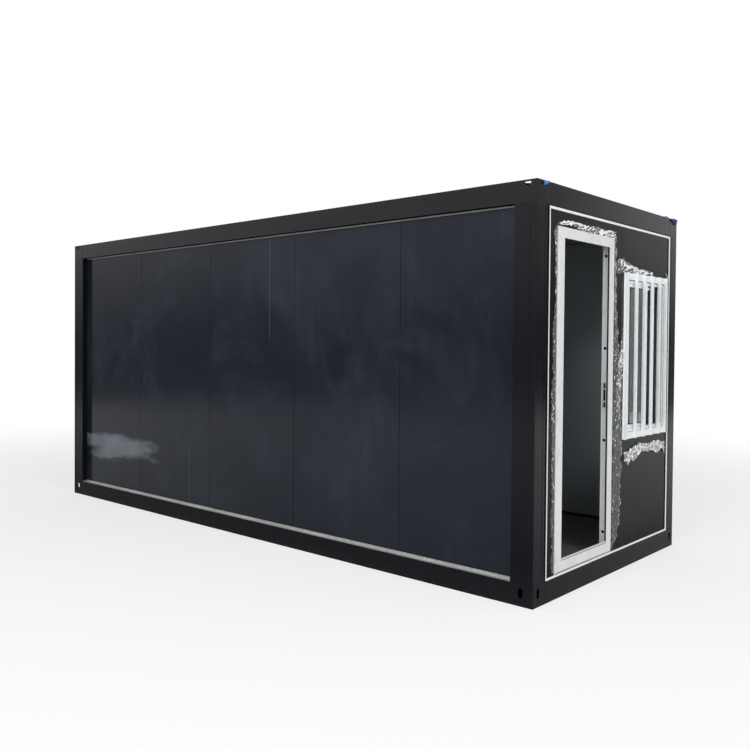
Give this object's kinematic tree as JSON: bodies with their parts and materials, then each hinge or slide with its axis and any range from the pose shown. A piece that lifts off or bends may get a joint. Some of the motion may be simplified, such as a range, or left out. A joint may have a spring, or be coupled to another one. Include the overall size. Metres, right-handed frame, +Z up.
{
  "type": "detachable container house",
  "caption": "Flat-pack container house: dark folded steel frame on slotted corner fittings, sandwich panel walls, open doorway with a rebated white frame and a barred sliding window.",
  "frame": {"origin": "on the ground at the middle of the house's box", "axes": "+Z up, length along Y with the door end at -Y, width along X with the pictured long wall at -X"},
  "size_m": [2.4, 5.827, 2.8],
  "materials": {
    "frame_steel": "anthracite satin paint",
    "wall_panel": "glossy dark blue-grey coated sheet",
    "galvanised_track": "pale grey zinc coated sheet",
    "white_trim": "off-white powder coat",
    "rubber_seal": "black",
    "lock_steel": "plain",
    "window_glass": "clear",
    "joist_steel": "satin paint",
    "floor_board": "sheathing board",
    "floor_sheet": "dull grey floor sheet",
    "skirting": "dark",
    "ceiling": "light grey coated sheet",
    "roof_sheet": "zinc coated ribbed sheet"
  },
  "bodies": {
    "root": {"bottom_corner_fittings": "frame_steel", "top_fittings_left": "frame_steel", "top_fittings_right": "frame_steel", "post_front_left": "frame_steel", "post_front_right": "frame_steel", "post_back_left": "frame_steel", "post_back_right": "frame_steel", "bottom_beams_long": "frame_steel", "bottom_beams_end": "frame_steel", "top_beams_long": "frame_steel", "top_beams_end": "frame_steel", "left_wall_panel_1": "wall_panel", "left_wall_panel_2": "wall_panel", "left_wall_panel_3": "wall_panel", "left_wall_panel_4": "wall_panel", "left_wall_panel_5": "wall_panel", "right_wall_panel_1": "wall_panel", "right_wall_panel_2": "wall_panel", "right_wall_panel_3": "wall_panel", "right_wall_panel_4": "wall_panel", "right_wall_panel_5": "wall_panel", "front_wall_beside_door": "wall_panel", "front_wall_over_door": "wall_panel", "front_wall_middle": "wall_panel", "front_wall_window_panel": "wall_panel", "back_wall_panel_left": "wall_panel", "back_wall_panel_right": "wall_panel", "left_wall_tracks": "galvanised_track", "right_wall_tracks": "galvanised_track", "front_wall_trim": "white_trim", "back_wall_trim": "white_trim", "door_frame": "white_trim", "window_frame": "white_trim", "window_sashes": "white_trim", "security_grille": "white_trim", "door_seal": "rubber_seal", "lock_keep": "lock_steel", "window_glass": "window_glass", "floor_joists": "joist_steel", "roof_purlins": "joist_steel", "floor_board": "floor_board", "floor_covering": "floor_sheet", "skirting": "skirting", "ceiling_panel": "ceiling", "roof_sheet": "roof_sheet"}
  },
  "joints": []
}
